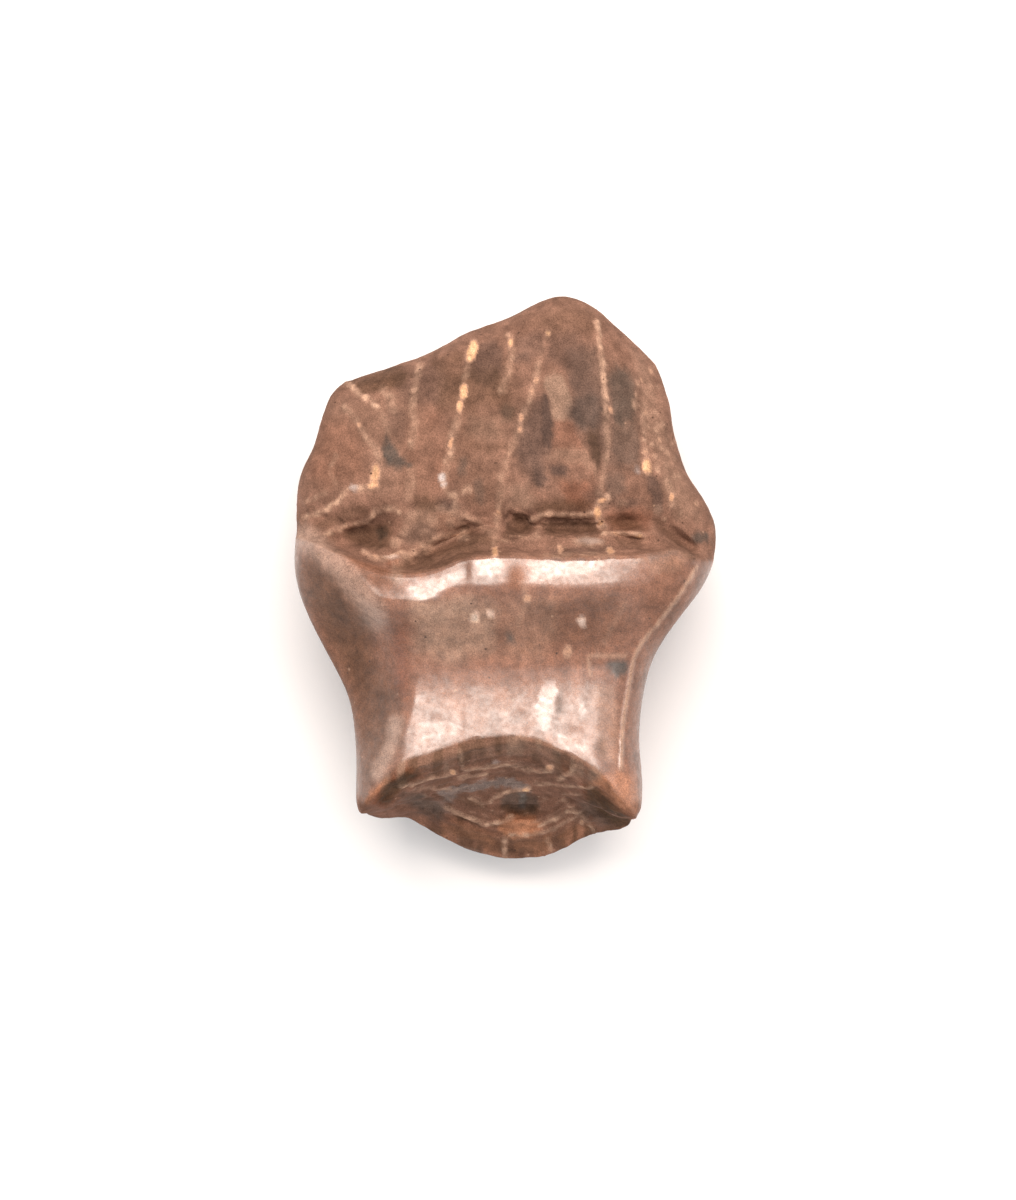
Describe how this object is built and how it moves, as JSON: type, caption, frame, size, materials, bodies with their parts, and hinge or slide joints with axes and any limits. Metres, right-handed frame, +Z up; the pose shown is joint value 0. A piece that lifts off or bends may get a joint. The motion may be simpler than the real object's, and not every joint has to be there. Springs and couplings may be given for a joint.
{
  "type": "fossil denversaurus tooth",
  "caption": "Fossil tooth of an armoured dinosaur, lying on its back: worn leaf-shaped crown, chipped step, swollen collar, waisted root and an oblique layered break.",
  "frame": {"origin": "on the surface that the tooth rests on, under the middle of its length and width", "axes": "+X across the tooth, +Y from the broken root to the crown tip, +Z up, out of the face that shows in the picture"},
  "size_m": [0.0084, 0.0114, 0.0048],
  "materials": {
    "fossil": "brown mineralised tooth with grey patches and pale crack fillings; polished collar and root, duller worn crown"
  },
  "bodies": {
    "root": {"tooth": "fossil"}
  },
  "joints": []
}
